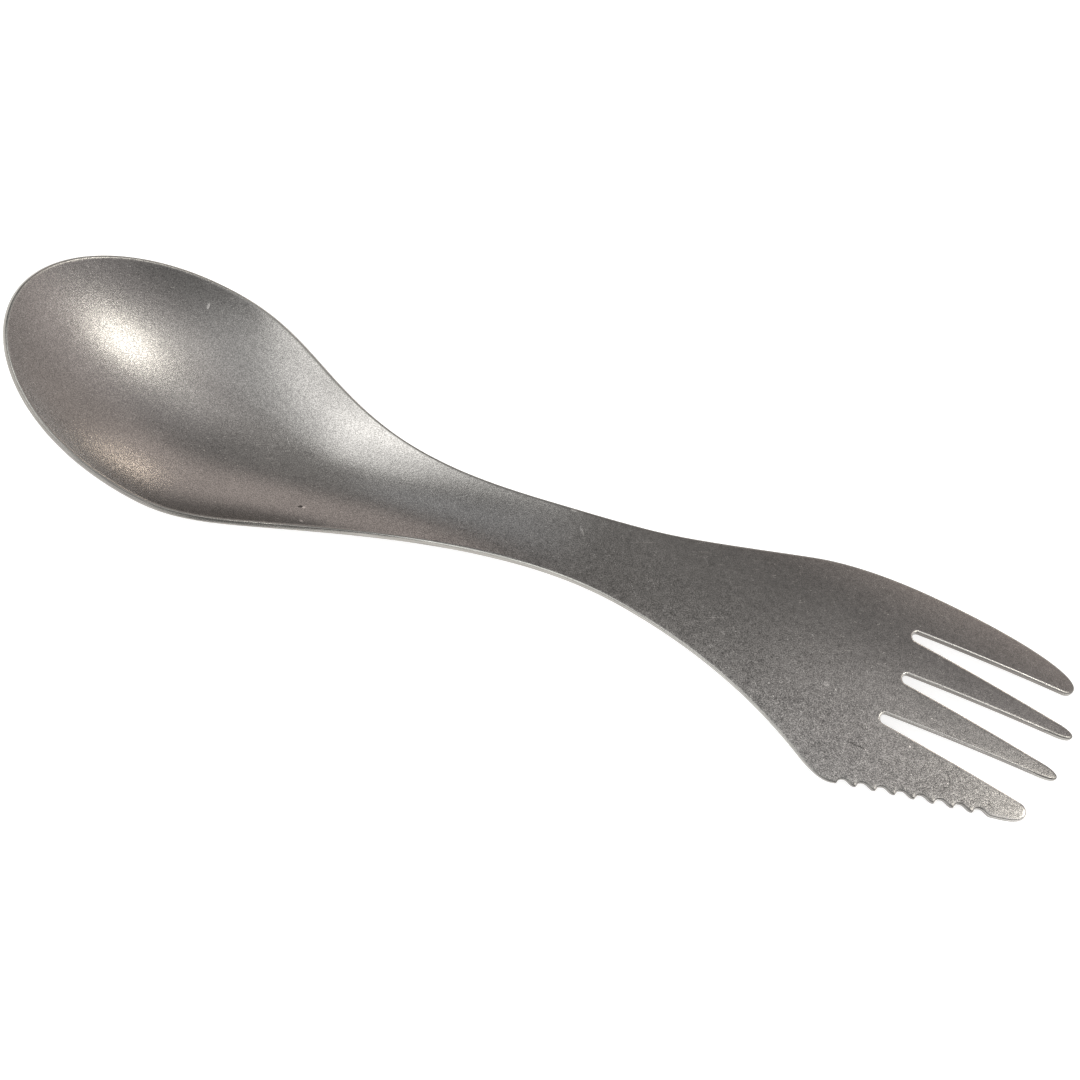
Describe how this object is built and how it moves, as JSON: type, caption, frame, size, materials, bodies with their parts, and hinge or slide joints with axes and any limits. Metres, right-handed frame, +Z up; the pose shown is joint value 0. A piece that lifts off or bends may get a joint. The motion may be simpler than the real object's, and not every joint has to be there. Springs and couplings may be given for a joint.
{
  "type": "spork",
  "caption": "Camping spork pressed from one titanium sheet: spoon bowl, waisted handle and a slotted fork head with a saw edge along one side.",
  "frame": {"origin": "on the table, under the middle of the object's box, with the spork lying bowl upwards", "axes": "+X from the bowl towards the tines, +Y towards the plain side of the fork head (the saw edge is on -Y), +Z up"},
  "size_m": [0.17, 0.0388, 0.0169],
  "materials": {
    "titanium": "tumbled titanium, fine-grained satin"
  },
  "bodies": {
    "root": {"spork": "titanium"}
  },
  "joints": []
}
